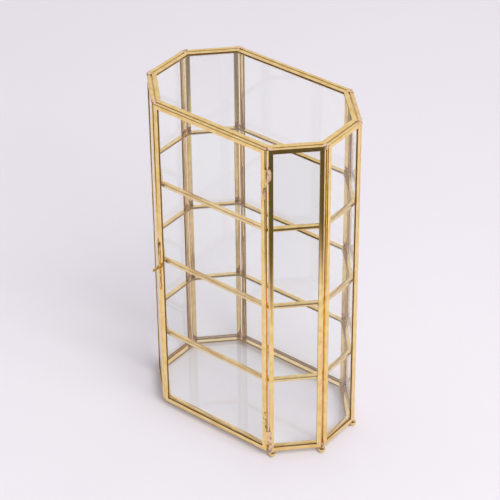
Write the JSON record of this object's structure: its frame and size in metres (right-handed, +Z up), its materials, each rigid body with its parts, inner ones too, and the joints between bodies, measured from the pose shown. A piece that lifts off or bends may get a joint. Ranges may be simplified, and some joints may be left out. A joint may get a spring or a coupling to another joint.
{
  "type": "jewelry display cabinet",
  "caption": "Upright octagonal glass display case in soldered brass channel, with glass shelves, a side-hinged glass front door with a wire pull, and ball feet.",
  "frame": {"origin": "on the table, under the middle of the whole outline, feet and door pull included", "axes": "+Z up; the door faces -Y; +X to the right as seen by someone facing the door, the side the door is hinged on"},
  "size_m": [0.1826, 0.1219, 0.3062],
  "materials": {
    "brass_channel": "polished and lacquered, folded sheet",
    "clear_glass": "clear float glass",
    "soldered_brass": "brass with smears of pinkish solder",
    "brass_wire": "polished drawn wire",
    "brass_ball": "polished ball, soldered on"
  },
  "bodies": {
    "cabinet": {"base_frame": "brass_channel", "shelf_1_frame": "brass_channel", "shelf_2_frame": "brass_channel", "shelf_3_frame": "brass_channel", "top_frame": "brass_channel", "wall_front_right_frame": "brass_channel", "wall_right_frame": "brass_channel", "wall_back_right_frame": "brass_channel", "wall_back_frame": "brass_channel", "wall_back_left_frame": "brass_channel", "wall_left_frame": "brass_channel", "wall_front_left_frame": "brass_channel", "base_glass": "clear_glass", "shelf_1_glass": "clear_glass", "shelf_2_glass": "clear_glass", "shelf_3_glass": "clear_glass", "top_glass": "clear_glass", "wall_front_right_glass": "clear_glass", "wall_right_glass": "clear_glass", "wall_back_right_glass": "clear_glass", "wall_back_glass": "clear_glass", "wall_back_left_glass": "clear_glass", "wall_left_glass": "clear_glass", "wall_front_left_glass": "clear_glass", "hinge_tube_upper": "soldered_brass", "hinge_tube_lower": "soldered_brass", "foot_front_right_inner": "brass_ball", "foot_front_right_outer": "brass_ball", "foot_back_right_outer": "brass_ball", "foot_back_right_inner": "brass_ball", "foot_back_left_inner": "brass_ball", "foot_back_left_outer": "brass_ball"},
    "door": {"door_frame": "brass_channel", "door_glass": "clear_glass", "hinge_pin_upper": "brass_wire", "hinge_pin_lower": "brass_wire", "door_pull": "brass_wire"}
  },
  "joints": [
    {"name": "door_hinge", "type": "hinge", "parent": "cabinet", "child": "door", "pos_m": [0.05707, -0.05312, 0.15617], "axis": [0, 0, 1], "range_deg": [0, 180]}
  ]
}
